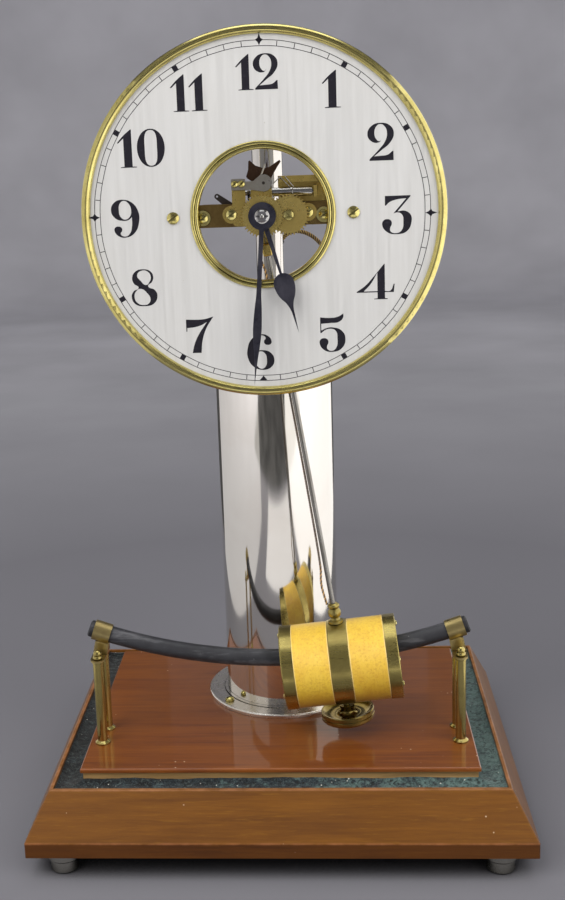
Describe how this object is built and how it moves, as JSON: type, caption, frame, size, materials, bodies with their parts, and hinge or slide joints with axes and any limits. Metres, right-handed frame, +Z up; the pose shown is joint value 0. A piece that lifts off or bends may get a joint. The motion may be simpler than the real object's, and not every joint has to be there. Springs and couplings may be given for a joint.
{
  "type": "electromagnetic pendulum clock",
  "caption": "Battery clock with a round open-centre dial on a polished column and a coil bob that swings over a bar magnet, on a stepped wooden base.",
  "frame": {"origin": "centre of the base's footprint, at the underside of the feet", "axes": "+Z up, -Y towards the viewer (the dial faces -Y), +X to the viewer's right"},
  "size_m": [0.217, 0.175, 0.3505],
  "materials": {
    "mahogany": "french-polished dark mahogany",
    "polished_mahogany": "high-gloss polished red-brown mahogany",
    "groove_felt": "dark felt laid in the groove",
    "foot_metal": "pale grey turned metal",
    "bright_nickel": "mirror-polished nickel plate",
    "polished_brass": "polished lacquered brass",
    "dull_brass": "aged brass with a satin face",
    "black_enamel": "satin black enamel on steel",
    "silvered_dial": "matt silvered dial with black print",
    "polished_steel": "polished steel",
    "grey_steel": "satin steel",
    "dark_steel": "darkened steel",
    "blued_steel": "blue-black steel",
    "spring_steel": "thin bright spring steel",
    "bobbin_card": "varnished dark bobbin tube",
    "silk_winding": "golden silk-covered wire",
    "braided_cotton": "yellow and black braided cotton",
    "black_bush": "black moulded bush",
    "cell_card": "card jacket of a dry cell"
  },
  "bodies": {
    "frame": {"plinth": "mahogany", "platform_board": "polished_mahogany", "groove_felt": "groove_felt", "base_feet": "foot_metal", "base_screws": "polished_brass", "column_tube": "bright_nickel", "column_flange": "bright_nickel", "column_shoulder": "bright_nickel", "neck_tube": "bright_nickel", "dry_cell": "cell_card", "cell_contact": "dull_brass", "neck_yoke": "dull_brass", "bar_arms": "dull_brass", "magnet_bar": "black_enamel", "magnet_saddles": "polished_brass", "magnet_posts": "polished_brass", "post_finials": "polished_brass", "dial_plate": "silvered_dial", "bezel": "polished_brass", "window_ring": "polished_brass", "dial_screws": "polished_brass", "movement_bar": "dull_brass", "bar_screws": "polished_brass", "front_plate": "dull_brass", "movement_pillars": "dull_brass", "movement_screws": "polished_brass", "worm_bracket": "dull_brass", "brake_springs": "polished_steel", "fork_cock": "grey_steel", "minute_stud": "polished_steel", "suspension_block": "dull_brass", "supply_lead": "braided_cotton", "lead_bushes": "black_bush"},
    "battery_strap": {"battery_strap": "dull_brass"},
    "pendulum": {"suspension_spring": "spring_steel", "pendulum_head": "dull_brass", "pendulum_rod": "grey_steel", "rod_nut": "dull_brass", "coil_bobbin": "bobbin_card", "coil_windings": "silk_winding", "coil_band": "dull_brass", "coil_caps": "dull_brass", "coil_screws": "polished_brass", "rod_lead": "silk_winding"},
    "rating_washer": {"rating_washer": "dull_brass"},
    "rating_nut": {"rating_nut": "dull_brass"},
    "fork": {"fork": "dark_steel", "fork_arbor": "dark_steel", "pawl": "dark_steel"},
    "centre": {"centre_arbor": "polished_steel", "worm_wheel": "polished_brass", "cannon_pinion": "polished_steel", "minute_hand": "blued_steel", "hand_nut": "polished_steel"},
    "hour": {"hour_wheel": "polished_brass", "hour_hand": "blued_steel"},
    "minute_wheel": {"minute_wheel": "polished_brass"},
    "worm": {"worm_arbor": "polished_steel", "ratchet_wheel": "polished_steel"},
    "stop_lever": {"stop_lever": "dull_brass"}
  },
  "joints": [
    {"name": "pendulum_swing", "type": "hinge", "parent": "frame", "child": "pendulum", "pos_m": [0, -0.0335, 0.2667], "axis": [0, 1, 0], "range_deg": [-0.5, 17.9], "deforming": ["suspension_spring"]},
    {"name": "fork_rock", "type": "hinge", "parent": "frame", "child": "fork", "pos_m": [0.0008, -0.038, 0.2885], "axis": [0, 1, 0], "range_deg": [-10.9, 0.4]},
    {"name": "rating_travel", "type": "slide", "parent": "pendulum", "child": "rating_washer", "axis": [-0.1063, 0, 0.9943], "range_m": [-0.0014, 0.0014]},
    {"name": "rating_turn", "type": "hinge", "parent": "rating_washer", "child": "rating_nut", "pos_m": [0.03056, -0.0335, 0.05443], "axis": [-0.1063, 0, 0.9943], "range_deg": [-720, 720]},
    {"name": "minute_turn", "type": "hinge", "parent": "frame", "child": "centre", "pos_m": [0, -0.044, 0.2755], "axis": [0, 1, 0], "continuous": true},
    {"name": "hour_turn", "type": "hinge", "parent": "frame", "child": "hour", "pos_m": [0, -0.047, 0.2755], "axis": [0, 1, 0], "continuous": true},
    {"name": "minute_wheel_turn", "type": "hinge", "parent": "frame", "child": "minute_wheel", "pos_m": [0.0107, -0.0455, 0.2755], "axis": [0, 1, 0], "continuous": true},
    {"name": "worm_turn", "type": "hinge", "parent": "frame", "child": "worm", "pos_m": [0.007, -0.04, 0.2845], "axis": [1, 0, 0], "continuous": true},
    {"name": "strap_swing", "type": "hinge", "parent": "frame", "child": "battery_strap", "pos_m": [0.034, 0.0185, 0.0095], "axis": [0, 0, 1], "range_deg": [-80, 0]},
    {"name": "stop_lever_turn", "type": "hinge", "parent": "frame", "child": "stop_lever", "pos_m": [-0.01, -0.0353, 0.2765], "axis": [0, 1, 0], "range_deg": [-10, 10]}
  ],
  "couplings": [
    {"joint": "fork_rock", "follows": "pendulum_swing", "ratio": -0.6},
    {"joint": "hour_turn", "follows": "minute_turn", "ratio": 0.083333},
    {"joint": "minute_wheel_turn", "follows": "minute_turn", "ratio": -0.33333},
    {"joint": "worm_turn", "follows": "minute_turn", "ratio": -64},
    {"joint": "rating_turn", "follows": "rating_travel", "rad_per_m": 8976}
  ]
}
